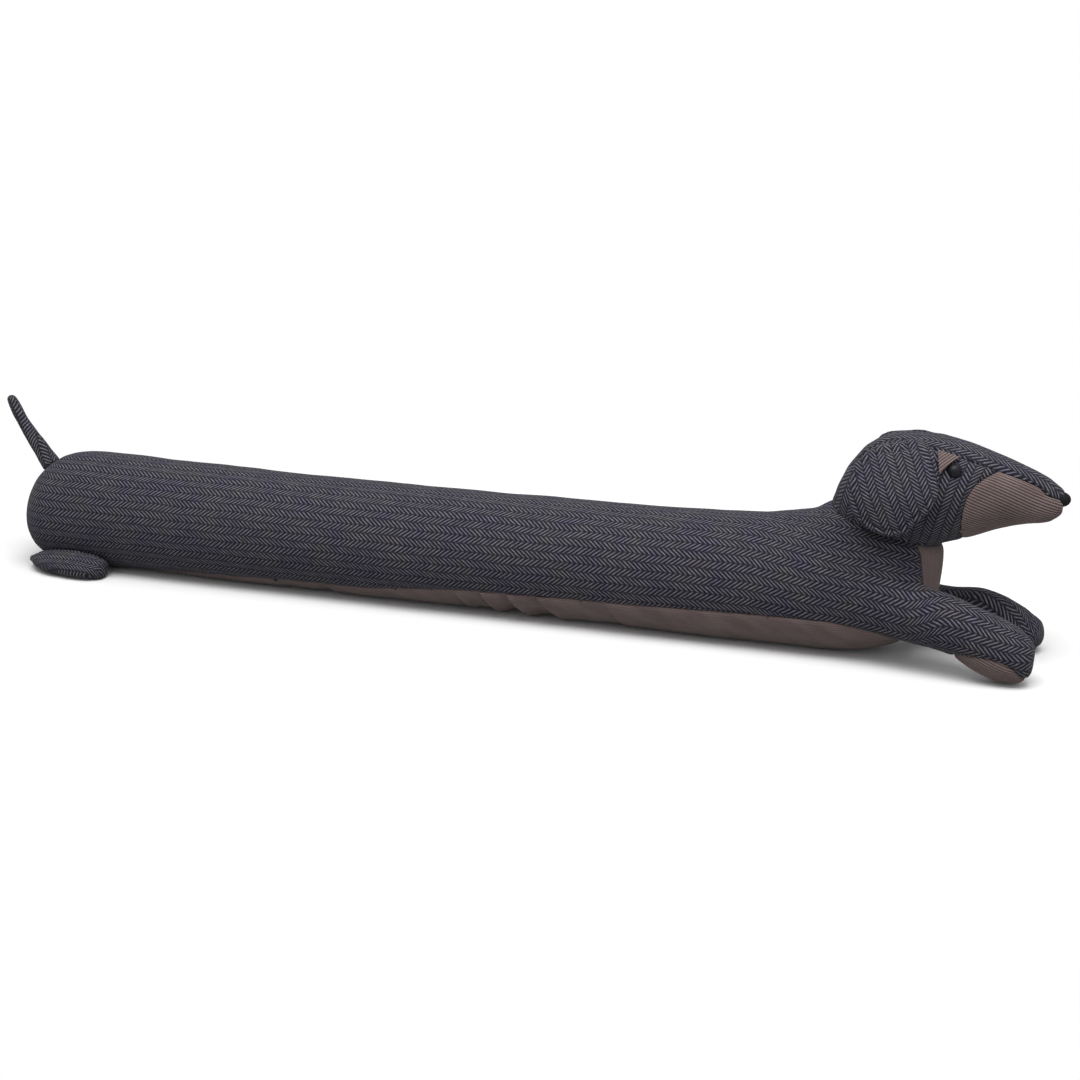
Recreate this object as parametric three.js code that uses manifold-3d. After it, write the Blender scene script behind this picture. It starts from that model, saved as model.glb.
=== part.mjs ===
// A draught excluder made as a long dog lying flat, sewn from tweed and corduroy and filled.
// Millimetres. +X runs from tail to nose, +Z is up, the dog's right side is at -Y, and the floor
// that it lies on is z = 0. The origin is on the floor under the middle of the whole dog.
// A panel holds its own share of the filled form, so panels meet along the seams that sew them.

import * as THREE from "three";
import { mergeVertices } from "three/addons/utils/BufferGeometryUtils.js";
import Module from "manifold-3d";

const wasm = await Module();
wasm.setup();

// Driving dimensions

const GAP = 0.3;
const MERGE = 1e-4;
const SIDES = { right: -1, left: 1 };
// Limits of the shapes that cut the panels apart, all clear of the dog.
const CUT = { back: 200, front: 600, below: -10, above: 300, across: 90, steps: 26 };
// A dome's first ring opens at this angle from its tip.
const DOME = { open: 8, rings: 4 };

// The filled tube of the body: half width, height of its widest line, top, and the underside
// before the floor presses it flat.
const BODY = [
  { x: -473, half: 52.5, mid: 42, top: 108.5, under: -1.2 },
  { x: -400, half: 52.5, mid: 53, top: 108.5, under: -1.2 },
  { x: -300, half: 52.5, mid: 52, top: 106.5, under: -1.2 },
  { x: -150, half: 53.0, mid: 52, top: 104.5, under: -1.2 },
  { x: 0, half: 53.0, mid: 52, top: 104.3, under: -1.2 },
  { x: 120, half: 53.0, mid: 52, top: 105.0, under: -1.2 },
  { x: 200, half: 53.5, mid: 53, top: 106.5, under: -1.2 },
  { x: 262, half: 53.5, mid: 54, top: 110.0, under: -1.2 },
  { x: 292, half: 53.5, mid: 55, top: 117.0, under: -1.2 },
  { x: 306, half: 53.5, mid: 56, top: 126.0, under: -1.2 },
  { x: 332, half: 53.5, mid: 58, top: 150.0, under: 1.0 },
  { x: 347, half: 52.3, mid: 60, top: 150.0, under: 3.5 },
  { x: 358, half: 49.8, mid: 61, top: 150.0, under: 7.0 },
  { x: 368, half: 45.5, mid: 62, top: 148.0, under: 11.0 },
  { x: 382, half: 35.5, mid: 65, top: 142.0, under: 23.0 },
  { x: 390, half: 25.0, mid: 68, top: 134.0, under: 34.0 },
  { x: 395, half: 14.0, mid: 72, top: 122.0, under: 42.0 },
  { x: 397, half: 5.0, mid: 74, top: 108.0, under: 56.0 },
];
const BODY_FULLNESS = 2.03;
const BODY_SIDES = 32;
const BODY_STEP = 40;
const REAR = { end: -473, above: 74, beside: 55, below: 48, bluntness: 2.2, open: 9, rings: 8 };
// In front of this the body has a ring at each row of its table.
const SHOULDER_BACK = 262;

// Puckers that the belly seam draws into the underside, each a trough across it that leans
// forward as it goes down.
const PUCKERS = [
  { x: -352, depth: 1.2, width: 6, lean: 2 },
  { x: -306, depth: 1.8, width: 7, lean: 3 },
  { x: -186, depth: 2.2, width: 6, lean: 3 },
  { x: -150, depth: 2.6, width: 7, lean: 4 },
  { x: -85, depth: 1.8, width: 6, lean: 3 },
  { x: -26, depth: 2.0, width: 6, lean: 5 },
  { x: 0, depth: 4.0, width: 7, lean: 6 },
  { x: 29, depth: 5.4, width: 8, lean: 8 },
  { x: 57, depth: 3.6, width: 7, lean: 9 },
  { x: 121, depth: 2.2, width: 6, lean: 3 },
];
const PUCKER_REACH = 62;

// Height of the belly seams above the floor, from the rear point of the gusset to the forelegs.
const BELLY_SEAM = [
  { x: -402, z: -1.0 },
  { x: -350, z: 3.0 },
  { x: -285, z: 9.0 },
  { x: -190, z: 13.0 },
  { x: -100, z: 16.0 },
  { x: -55, z: 22.5 },
  { x: -20, z: 25.0 },
  { x: 140, z: 31.0 },
  { x: 320, z: 36.0 },
  { x: 345, z: 32.0 },
  { x: 362, z: 24.0 },
  { x: 378, z: 19.0 },
];
const CHEST = { half: 28, back: 356 };

// Where the head is sewn on: a plane that falls towards the chest.
const NECK = { x: 309, z: 124, fall: 17.9 };

// Forelegs, sections from inside the body to the toes.
const FORELEGS = {
  right: [
    { x: 318, y: 28, z: 54, across: 20, high: 20 },
    { x: 345, y: 31.5, z: 52.5, across: 20.5, high: 22 },
    { x: 370, y: 36, z: 48.7, across: 20.5, high: 24.3 },
    { x: 403, y: 41, z: 45.5, across: 21, high: 23.5 },
    { x: 424, y: 43, z: 40, across: 21, high: 22.5 },
    { x: 442, y: 44, z: 32, across: 21.5, high: 24.5 },
    { x: 460, y: 44, z: 24, across: 20.5, high: 24.5 },
    { x: 471, y: 44, z: 20, across: 18, high: 19.5 },
  ],
  left: [
    { x: 318, y: 28, z: 51, across: 20, high: 19 },
    { x: 345, y: 31.5, z: 46, across: 20.5, high: 18.5 },
    { x: 370, y: 36, z: 35.5, across: 20.5, high: 19.5 },
    { x: 403, y: 41, z: 27, across: 21, high: 21 },
    { x: 424, y: 43, z: 25, across: 21, high: 22.5 },
    { x: 442, y: 44, z: 21, across: 21.5, high: 22.5 },
    { x: 460, y: 44, z: 15, across: 20.5, high: 20.5 },
    { x: 470, y: 44, z: 13, across: 18.5, high: 16 },
  ],
};
const FORELEG = { sides: 16, startDome: 10, endDome: 8, rings: 2 };
// The cloth of the sides runs into the legs: where that starts, is full, fades and ends, and how
// softly it does.
const SHOULDER = { start: 318, full: 345, fade: 374, end: 394, softness: 14 };

// Side view of the line where each sole is sewn on, and how near the dog's middle a sole may come.
const SOLE_INNER = 12;
const SOLES = {
  right: [
    { x: 417, z: 16 },
    { x: 421, z: 24 },
    { x: 442, z: 25 },
    { x: 458, z: 23 },
    { x: 468, z: 17 },
    { x: 476, z: 6 },
  ],
  left: [
    { x: 413, z: 6 },
    { x: 418, z: 15 },
    { x: 442, z: 17 },
    { x: 458, z: 15 },
    { x: 468, z: 11 },
    { x: 476, z: 4 },
  ],
};

// The head: half width, top and underside of its sections, from the nape to the nose.
const HEAD = [
  { x: 307, half: 6, top: 130, under: 118 },
  { x: 311, half: 17, top: 140, under: 110 },
  { x: 316, half: 25, top: 151, under: 104 },
  { x: 327, half: 36, top: 168.5, under: 95 },
  { x: 339, half: 42, top: 180, under: 91 },
  { x: 363, half: 46.5, top: 188, under: 91.5 },
  { x: 387, half: 45, top: 188, under: 96 },
  { x: 411, half: 38.5, top: 183.6, under: 106.5 },
  { x: 435, half: 30.5, top: 176.6, under: 114.5 },
  { x: 459, half: 22.5, top: 168, under: 121.5 },
  { x: 475, half: 16.5, top: 161, under: 124 },
  { x: 485, half: 12, top: 155.5, under: 127 },
  { x: 491, half: 7, top: 150, under: 132 },
];
const HEAD_RINGS = 15;
const HEAD_SIDES = 28;

// Angles from the top of the head at which its seams lie, along the head.
const CROWN_SEAM = [
  { x: 307, angle: 22 },
  { x: 360, angle: 23 },
  { x: 394, angle: 33 },
  { x: 412, angle: 37 },
  { x: 441, angle: 43 },
  { x: 465, angle: 48 },
  { x: 476, angle: 66 },
  { x: 491, angle: 88 },
];
const JAW_SEAM = [
  { x: 415, angle: 125 },
  { x: 436, angle: 126 },
  { x: 456, angle: 140 },
  { x: 466, angle: 150 },
  { x: 491, angle: 156 },
];
// Side view of the seam between cheek and muzzle, from jaw to crown.
const CHEEK_SEAM = [
  { x: 413.5, z: 100 },
  { x: 415.5, z: 122 },
  { x: 418, z: 143 },
  { x: 423, z: 154 },
  { x: 431, z: 162 },
  { x: 441, z: 167 },
];
// A wedge for a panel on the middle of the head starts apart from the middle line, and reaches past
// the cloth by a factor and past the ends by a length.
const WEDGE = { apart: 0.5, reach: 2.5, beyond: 5 };

const NOSE = { x: 489, z: 143.5, length: 7.5, half: 7.5, high: 6.2, segments: 20 };
const EYE = { x: 408.5, angle: 56, radius: 5.9, sunk: 2, segments: 16 };

// The ear: its outline in side view around its middle, a padded flap that lies down the head from
// the crown seam and hangs straight below the widest part.
const EAR = {
  x: 364.7,
  z: 151,
  thick: 7,
  rim: 1.6,
  rootLift: 0.5,
  hangLift: 5.5,
  top: 186,
  drop: 40,
  core: 0.12,
  rings: 4,
  points: 26,
};
const EAR_OUTLINE = [
  { turn: 0, reach: 35 },
  { turn: 35, reach: 37 },
  { turn: 62, reach: 38.6 },
  { turn: 95, reach: 33.2 },
  { turn: 145, reach: 37 },
  { turn: 185, reach: 35.4 },
  { turn: 240, reach: 35.7 },
  { turn: 280, reach: 35.5 },
  { turn: 310, reach: 31 },
  { turn: 340, reach: 32.7 },
  { turn: 360, reach: 35 },
];

// The eyelid: its corners along the crown seam and its free one, and where its tip is cut blunt.
const EYELID = {
  back: { x: 393.5, angle: 34 },
  tip: { x: 412.5, angle: 39 },
  low: { x: 398, angle: 63 },
  thick: 2,
  lift: 2,
  blunt: 0.94,
  steps: 5,
};

const HIND_PAW = [
  { x: -450, y: 39, z: 8.5, across: 4, high: 4 },
  { x: -438, y: 43, z: 9.5, across: 12, high: 9 },
  { x: -420, y: 46.5, z: 10.5, across: 17, high: 12.5 },
  { x: -398, y: 48.5, z: 10.5, across: 18, high: 13.5 },
  { x: -380, y: 49, z: 9.5, across: 17, high: 12 },
  { x: -370, y: 48, z: 9, across: 11.5, high: 9 },
];
const PAW_SHAPE = { sides: 14, startDome: 6, endDome: 3, rings: 2, power: 1.7 };

const TAIL = [
  { x: -452, y: 0, z: 92, across: 9.2, high: 9.2 },
  { x: -463, y: 0, z: 107, across: 7.9, high: 7.9 },
  { x: -480, y: 0, z: 131, across: 5.9, high: 5.9 },
  { x: -492.3, y: 0, z: 154, across: 4.2, high: 4.2 },
];
const TAIL_SHAPE = { sides: 12, startDome: 2, endDome: 4, rings: 3 };

const CLOTH = {
  tweed: new THREE.MeshStandardMaterial({ color: 0x3e3c48, roughness: 0.95, metalness: 0 }),
  corduroy: new THREE.MeshStandardMaterial({ color: 0x69605b, roughness: 0.9, metalness: 0 }),
  eye: new THREE.MeshStandardMaterial({ color: 0x151517, roughness: 0.35, metalness: 0 }),
  nose: new THREE.MeshStandardMaterial({ color: 0x141416, roughness: 0.6, metalness: 0 }),
};

// Tables, rings and solids

// A smooth value along x through one column of a table, level beyond the ends.
function track(rows, column) {
  const slope = (i) => (rows[i + 1][column] - rows[i][column]) / (rows[i + 1].x - rows[i].x);
  const last = rows.length - 1;
  const tangents = rows.map((_, i) => {
    if (i === 0) return slope(0);
    if (i === last) return slope(last - 1);
    const before = slope(i - 1);
    const after = slope(i);
    return before * after <= 0 ? 0 : (2 * before * after) / (before + after);
  });
  return (x) => {
    if (x <= rows[0].x) return rows[0][column];
    if (x >= rows[last].x) return rows[last][column];
    const i = rows.findIndex((row) => row.x > x) - 1;
    const width = rows[i + 1].x - rows[i].x;
    const t = (x - rows[i].x) / width;
    const rise = t * t * (3 - 2 * t);
    const leave = t * (1 - t) * (1 - t) * width * tangents[i];
    const arrive = t * t * (t - 1) * width * tangents[i + 1];
    return rows[i][column] * (1 - rise) + rows[i + 1][column] * rise + leave + arrive;
  };
}

// A track for each of some columns of a table.
function tracks(rows, columns) {
  return Object.fromEntries(columns.map((column) => [column, track(rows, column)]));
}

function spaced(from, to, count) {
  return Array.from({ length: count + 1 }, (_, i) => from + ((to - from) * i) / count);
}

const radians = THREE.MathUtils.degToRad;
const curl = (value, power) => Math.sign(value) * Math.abs(value) ** (2 / power);
const vector = (x, y, z) => new THREE.Vector3(x, y, z);

// Skins a stack of rings of equal length and closes both ends with a fan.
function loft(rings) {
  const count = rings[0].length;
  const points = rings.flat();
  const faces = [];
  const at = (ring, side) => ring * count + (side % count);
  for (let ring = 0; ring < rings.length - 1; ring += 1) {
    for (let side = 0; side < count; side += 1) {
      faces.push(at(ring, side), at(ring, side + 1), at(ring + 1, side + 1));
      faces.push(at(ring, side), at(ring + 1, side + 1), at(ring + 1, side));
    }
  }
  const ends = [
    { ring: 0, from: 1, to: 0 },
    { ring: rings.length - 1, from: 0, to: 1 },
  ];
  for (const end of ends) {
    const middle = vector(0, 0, 0);
    rings[end.ring].forEach((point) => middle.addScaledVector(point, 1 / count));
    const centre = points.push(middle) - 1;
    for (let side = 0; side < count; side += 1) {
      faces.push(centre, at(end.ring, side + end.from), at(end.ring, side + end.to));
    }
  }
  return meshOf(points, faces);
}

// A mesh with its faces turned outwards, whichever way its rings ran.
function meshOf(points, faces) {
  let volume = 0;
  for (let i = 0; i < faces.length; i += 3) {
    const [a, b, c] = [points[faces[i]], points[faces[i + 1]], points[faces[i + 2]]];
    volume += a.dot(b.clone().cross(c));
  }
  const geometry = new THREE.BufferGeometry().setFromPoints(points);
  geometry.setIndex(volume > 0 ? faces : faces.reverse());
  return geometry;
}

function solid(geometry) {
  const bare = geometry.clone();
  bare.deleteAttribute("normal");
  bare.deleteAttribute("uv");
  const merged = mergeVertices(bare, MERGE);
  const vertProperties = merged.attributes.position.array;
  const triVerts = Uint32Array.from(merged.index.array);
  return new wasm.Manifold(new wasm.Mesh({ numProp: 3, vertProperties, triVerts }));
}

function geometryOf(manifold) {
  const { numProp, vertProperties, triVerts } = manifold.getMesh();
  const geometry = new THREE.BufferGeometry();
  geometry.setAttribute("position", new THREE.BufferAttribute(vertProperties, numProp));
  geometry.setIndex(new THREE.BufferAttribute(triVerts, 1));
  return geometry;
}

// A round limb along a curve through its rows, with a dome at each end, pressed flat by the floor.
function limb(rows, side, { sides, startDome, endDome, rings, power = 2 }, grow = 0) {
  const curve = new THREE.CatmullRomCurve3(rows.map((row) => vector(row.x, side * row.y, row.z)));
  const spans = rows.length - 1;
  const dome = (t, reach) => spaced(DOME.open, 90, DOME.rings).slice(0, -1).map((angle) => (
    { t, along: reach * Math.cos(radians(angle)), scale: Math.sin(radians(angle)) }
  ));
  const stops = [
    ...dome(0, -startDome - grow),
    ...spaced(0, 1, spans * rings).map((t) => ({ t, along: 0, scale: 1 })),
    ...dome(1, endDome + grow).reverse(),
  ];
  return loft(stops.map(({ t, along, scale }) => {
    const row = Math.min(Math.floor(t * spans), spans - 1);
    const share = t * spans - row;
    const across = (THREE.MathUtils.lerp(rows[row].across, rows[row + 1].across, share) + grow) * scale;
    const high = (THREE.MathUtils.lerp(rows[row].high, rows[row + 1].high, share) + grow) * scale;
    const forward = curve.getTangent(t);
    const sideways = vector(-forward.y, forward.x, 0).normalize();
    const upward = forward.clone().cross(sideways);
    const centre = curve.getPoint(t).addScaledVector(forward, along);
    return Array.from({ length: sides }, (_, i) => {
      const turn = (i / sides) * 2 * Math.PI;
      const point = centre.clone()
        .addScaledVector(sideways, across * curl(Math.cos(turn), power))
        .addScaledVector(upward, high * curl(Math.sin(turn), power));
      point.z = Math.max(point.z, 0);
      return point;
    });
  }));
}

// A slab between two widths of the dog whose side view is the outline given.
function slab(outline, from, to) {
  const shape = new THREE.Shape(outline.map(({ x, z }) => new THREE.Vector2(x, z)));
  const geometry = new THREE.ExtrudeGeometry(shape, { depth: Math.abs(to - from), bevelEnabled: false });
  geometry.rotateX(Math.PI / 2);
  geometry.translate(0, Math.max(from, to), 0);
  return solid(geometry);
}

// Everything on one side of the neck plane, past a gap.
function neckBlock(above, gap) {
  const size = CUT.front - CUT.back;
  const block = new THREE.BoxGeometry(size, size, size);
  block.translate(0, 0, above ? size / 2 + gap : -size / 2 - gap);
  block.rotateY(radians(NECK.fall));
  block.translate(NECK.x, 0, NECK.z);
  return solid(block);
}

// Body, belly gusset and soles

const bodyAt = tracks(BODY, ["half", "mid", "top", "under"]);
const seamHeight = track(BELLY_SEAM, "z");

// How far the rear end has opened out at x, where it closes over a given length.
function rearScale(x, length, grow) {
  const t = Math.min((x - REAR.end + grow) / (length + grow), 1);
  return (1 - (1 - t) ** REAR.bluntness) ** (1 / REAR.bluntness);
}

const legAt = Object.fromEntries(Object.entries(FORELEGS).map(([name, rows]) => (
  [name, tracks(rows, ["y", "z", "across", "high"])]
)));

// How far out along a ray from the body's middle line the far side of a foreleg is.
function legReach(name, x, mid, ray) {
  const leg = legAt[name];
  const radii = new THREE.Vector2(leg.across(x), leg.high(x));
  const centre = new THREE.Vector2(SIDES[name] * leg.y(x), leg.z(x) - mid).divide(radii);
  const aim = ray.clone().divide(radii);
  const middle = aim.dot(centre) / aim.lengthSq();
  const spread = middle * middle - (centre.lengthSq() - 1) / aim.lengthSq();
  return spread > 0 ? middle + Math.sqrt(spread) : 0;
}

// The body's section swells softly around the forelegs where they leave it.
function shoulder(x, mid, y, z) {
  const { smoothstep } = THREE.MathUtils;
  const faded = smoothstep(x, SHOULDER.fade, SHOULDER.end);
  const share = smoothstep(x, SHOULDER.start, SHOULDER.full) * (1 - faded);
  const ray = new THREE.Vector2(y, z - mid);
  const reach = ray.length();
  ray.normalize();
  let swollen = reach;
  for (const name of Object.keys(SIDES)) {
    const leg = legReach(name, x, mid, ray);
    const close = Math.max(0, 1 - Math.abs(swollen - leg) / SHOULDER.softness);
    swollen = Math.max(swollen, leg) + (close * close * SHOULDER.softness) / 4;
  }
  return ray.multiplyScalar(THREE.MathUtils.lerp(reach, swollen, share));
}

// One ring of the body, from the top down the dog's right side and up its left.
function bodyRing(x, grow) {
  const mid = bodyAt.mid(x);
  const half = (bodyAt.half(x) + grow) * rearScale(x, REAR.beside, grow);
  const rise = (bodyAt.top(x) - mid + grow) * rearScale(x, REAR.above, grow);
  const drop = (mid - bodyAt.under(x) + grow) * rearScale(x, REAR.below, grow);
  return spaced(0, 360, BODY_SIDES).slice(0, -1).map((angle) => {
    const turn = radians(angle);
    const lower = Math.max(0, 1 - ((180 - angle) / PUCKER_REACH) ** 2);
    let pull = 0;
    let lean = 0;
    for (const pucker of PUCKERS) {
      const near = Math.exp(-(((x - pucker.x) / pucker.width) ** 2));
      pull += pucker.depth * near * lower;
      lean += pucker.lean * near * lower;
    }
    const y = -half * curl(Math.sin(turn), BODY_FULLNESS);
    const side = curl(Math.cos(turn), BODY_FULLNESS);
    const z = Math.max(mid + side * (side > 0 ? rise : drop), 0);
    const draw = 1 - pull / mid;
    const out = shoulder(x, mid, y * draw, mid + (z - mid) * draw);
    return vector(x + lean, out.x, Math.max(mid + out.y, 0));
  });
}

function bodyStations() {
  const rear = spaced(REAR.open, 90, REAR.rings).slice(0, -1).map((angle) => (
    REAR.end + REAR.above * (1 - Math.cos(radians(angle)))
  ));
  const first = REAR.end + REAR.above;
  const front = BODY.filter((row) => row.x > SHOULDER_BACK).map((row) => row.x);
  const even = spaced(first, front[0], Math.round((front[0] - first) / BODY_STEP)).slice(0, -1);
  const pleats = PUCKERS.flatMap(({ x, width }) => [x - width, x, x + width]);
  const clear = even.filter((x) => pleats.every((pleat) => Math.abs(pleat - x) > BODY_STEP / 4));
  return [...rear, ...clear, ...pleats, ...front].sort((a, b) => a - b);
}

const bodyTube = (grow) => solid(loft(bodyStations().map((x) => bodyRing(x, grow))));

function forelegs(grow) {
  const [right, left] = Object.entries(FORELEGS).map(([name, rows]) => (
    solid(limb(rows, SIDES[name], FORELEG, grow))
  ));
  return right.add(left);
}

// The side view of all that lies under a line.
function under(line) {
  return [{ x: line[0].x, z: CUT.below }, { x: line.at(-1).x, z: CUT.below }, ...line.toReversed()];
}

// The room that the gusset takes up: all below the belly seams, and the front between the chest
// seams.
function gussetRoom(grow) {
  const stops = spaced(BELLY_SEAM[0].x, BELLY_SEAM.at(-1).x, CUT.steps);
  const line = stops.map((x) => ({ x, z: seamHeight(x) + grow }));
  line.at(-1).x += grow;
  const belly = slab(under(line), -CUT.across, CUT.across);
  const top = [{ x: CHEST.back - grow, z: CUT.above }, { x: CUT.front, z: CUT.above }];
  const chest = slab(under(top), -CHEST.half - grow, CHEST.half + grow);
  return belly.add(chest);
}

function soleRoom(name, grow) {
  const line = SOLES[name].map(({ x, z }, i) => ({ x: x + (i < 2 ? -grow : grow), z: z + grow }));
  return slab(under(line), SIDES[name] * SOLE_INNER, SIDES[name] * CUT.across);
}

// Head

const headAt = tracks(HEAD, ["half", "top", "under"]);
const crownAngle = track(CROWN_SEAM, "angle");
const jawAngle = track(JAW_SEAM, "angle");
const headMiddle = (x) => (headAt.top(x) + headAt.under(x)) / 2;

// A point of the head at an angle from its top; lift is measured outwards from the cloth.
function headPoint(x, angle, side, lift = 0) {
  const turn = radians(angle);
  const half = headAt.half(x) + lift;
  const high = (headAt.top(x) - headAt.under(x)) / 2 + lift;
  return vector(x, side * half * Math.sin(turn), headMiddle(x) + high * Math.cos(turn));
}

const headStations = spaced(HEAD[0].x, HEAD.at(-1).x, HEAD_RINGS);

// The whole head, or the head with room around it and in front of it.
function headForm(grow) {
  return solid(loft(headStations.map((x, i) => {
    const front = x + (i === HEAD_RINGS ? grow : 0);
    const angles = spaced(0, 360, HEAD_SIDES).slice(0, -1);
    return angles.map((angle) => headPoint(x, angle, SIDES.right, grow).setX(front));
  })));
}

// The room of a panel on the middle of the head: a kite out from the head's middle line, whose lower
// edges run through a seam on each side of it, at an angle from the top.
function wedgeRoom(seamAngle, grow) {
  return solid(loft(headStations.map((x, i) => {
    const last = i === headStations.length - 1;
    const edge = headPoint(x, seamAngle(x), SIDES.left).sub(vector(x, 0, headMiddle(x)));
    const upright = Math.sign(edge.z);
    const slant = edge.y / edge.length();
    const apex = headMiddle(x) + upright * (WEDGE.apart - grow / slant);
    const beyond = x + (last ? WEDGE.beyond : 0) - (i === 0 ? WEDGE.beyond : 0);
    const high = upright * (headAt.top(x) - headMiddle(x));
    const corners = [[-edge.y, edge.z], [0, 0], [edge.y, edge.z], [0, high]];
    return corners.map(([y, z]) => vector(beyond, y * WEDGE.reach, apex + z * WEDGE.reach));
  })));
}

// One half of everything, reaching past the middle by half a gap.
function halfRoom(side) {
  const top = [{ x: CUT.back, z: CUT.above }, { x: CUT.front, z: CUT.above }];
  return slab(under(top), (-side * GAP) / 2, side * CUT.across);
}

// The room of the cheeks and all behind them, in side view back from their seams with the muzzle.
function cheekRoom(grow) {
  const seam = CHEEK_SEAM.map(({ x, z }) => ({ x: x + grow, z: z - grow }));
  const top = [{ x: CUT.back, z: CUT.above }, { x: seam.at(-1).x, z: CUT.above }];
  return slab(under([...top, ...seam.reverse()]), -CUT.across, CUT.across);
}

function ball({ x, y, z }, size, { segments }) {
  const geometry = new THREE.SphereGeometry(1, segments, segments / 2);
  geometry.scale(size.x, size.y, size.z);
  geometry.translate(x, y, z);
  return solid(geometry);
}

// A padded ear: its face runs out to the rim and its back returns.
function ear(side, grow) {
  const reach = track(EAR_OUTLINE.map((row) => ({ x: row.turn, reach: row.reach })), "reach");
  const ring = (share, face) => spaced(0, 360, EAR.points).slice(0, -1).map((turn) => {
    const x = EAR.x + share * (reach(turn) + grow) * Math.cos(radians(turn));
    const z = EAR.z + share * (reach(turn) + grow) * Math.sin(radians(turn));
    const fallen = THREE.MathUtils.clamp((EAR.top - z) / EAR.drop, 0, 1);
    const lift = THREE.MathUtils.lerp(EAR.rootLift, EAR.hangLift, fallen);
    const high = headAt.top(EAR.x) - headMiddle(EAR.x) + lift;
    const upright = THREE.MathUtils.clamp((z - headMiddle(EAR.x)) / high, 0, 1);
    const outward = Math.sqrt(1 - upright * upright);
    const plump = EAR.rim + (EAR.thick - EAR.rim) * Math.sqrt(1 - share ** 4) + 2 * grow;
    const y = (headAt.half(EAR.x) + lift) * outward + (face * plump * outward) / 2;
    return vector(x, side * y, z + (face * plump * upright) / 2);
  });
  const shares = spaced(EAR.core, 1, EAR.rings);
  const face = shares.map((share) => ring(share, 1));
  const back = shares.map((share) => ring(share, -1)).reverse();
  return solid(loft([...face, ...back]));
}

// A flap whose long edge lies in the crown seam and whose free edge stands over the eye.
function eyelid(side) {
  const { back, tip, low, thick, lift, blunt, steps } = EYELID;
  const at = (key, forward, down) => (
    back[key] + forward * (tip[key] - back[key]) + down * (1 - forward) * (low[key] - back[key])
  );
  const corner = (forward, down, raise) => (
    headPoint(at("x", forward, down), at("angle", forward, down), side, lift * down + raise)
  );
  const rings = spaced(0, blunt, steps).map((forward) => [
    ...spaced(0, 1, steps).map((down) => corner(forward, down, thick)),
    ...spaced(1, 0, steps).map((down) => corner(forward, down, 0)),
  ]);
  return solid(loft(rings));
}

// The pieces

const group = new THREE.Group();

function place(name, form, material) {
  const mesh = new THREE.Mesh(geometryOf(form), CLOTH[material]);
  mesh.name = name;
  group.add(mesh);
}

const aboveNeck = neckBlock(true, -GAP / 2);
const belowNeck = neckBlock(false, -GAP / 2);
const tube = bodyTube(0).subtract(aboveNeck);
const tubeClear = bodyTube(GAP);
const legs = forelegs(0);
let body = tube.subtract(gussetRoom(GAP)).add(legs);
for (const name of Object.keys(SIDES)) {
  body = body.subtract(soleRoom(name, GAP));
  place(`sole_${name}`, legs.intersect(soleRoom(name, 0)), "corduroy");
}
place("body", body, "tweed");
place("belly_gusset", tube.intersect(gussetRoom(0)).subtract(forelegs(GAP)), "corduroy");

const head = headForm(0).subtract(belowNeck);
const headClear = headForm(GAP);
place("head_top", head.intersect(wedgeRoom(crownAngle, 0)), "tweed");
place("chin", head.intersect(wedgeRoom(jawAngle, 0)).subtract(cheekRoom(GAP)), "corduroy");
const headSides = head.subtract(wedgeRoom(crownAngle, GAP));
const cheeks = headSides.intersect(cheekRoom(0));
const muzzles = headSides.subtract(cheekRoom(GAP)).subtract(wedgeRoom(jawAngle, GAP));
const noseSize = { x: NOSE.length, y: NOSE.half, z: NOSE.high };
place("nose", ball({ x: NOSE.x, y: 0, z: NOSE.z }, noseSize, NOSE).subtract(headClear), "nose");

for (const [name, side] of Object.entries(SIDES)) {
  const otherHalf = halfRoom(-side);
  place(`head_side_${name}`, cheeks.subtract(otherHalf), "tweed");
  place(`muzzle_${name}`, muzzles.subtract(otherHalf), "corduroy");
  const socket = headPoint(EYE.x, EYE.angle, side, -EYE.sunk);
  const eyeSize = (grow) => ({ x: EYE.radius + grow, y: EYE.radius + grow, z: EYE.radius + grow });
  place(`eye_${name}`, ball(socket, eyeSize(0), EYE).subtract(headClear), "eye");
  const lid = eyelid(side).subtract(headClear).subtract(ball(socket, eyeSize(GAP), EYE));
  place(`eyelid_${name}`, lid.subtract(ear(side, GAP)), "corduroy");
  place(`ear_${name}`, ear(side, 0).subtract(headClear), "tweed");
  place(`hind_paw_${name}`, solid(limb(HIND_PAW, side, PAW_SHAPE)).subtract(tubeClear), "tweed");
}
place("tail", solid(limb(TAIL, SIDES.left, TAIL_SHAPE)).subtract(tubeClear), "tweed");

export default group;
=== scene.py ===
"""A draught excluder sewn as a lying dog: tweed and corduroy panels drawn tight over a filling.

Sizes are millimetres, and MM turns them into Blender's metres. +X runs from tail to nose, +Z is up,
and the dog's right side, the one that faces the camera, is at -Y.
"""

import math

import bmesh
import bpy
from mathutils import Matrix, Vector, noise
from mathutils.bvhtree import BVHTree
from mathutils.kdtree import KDTree


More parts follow.
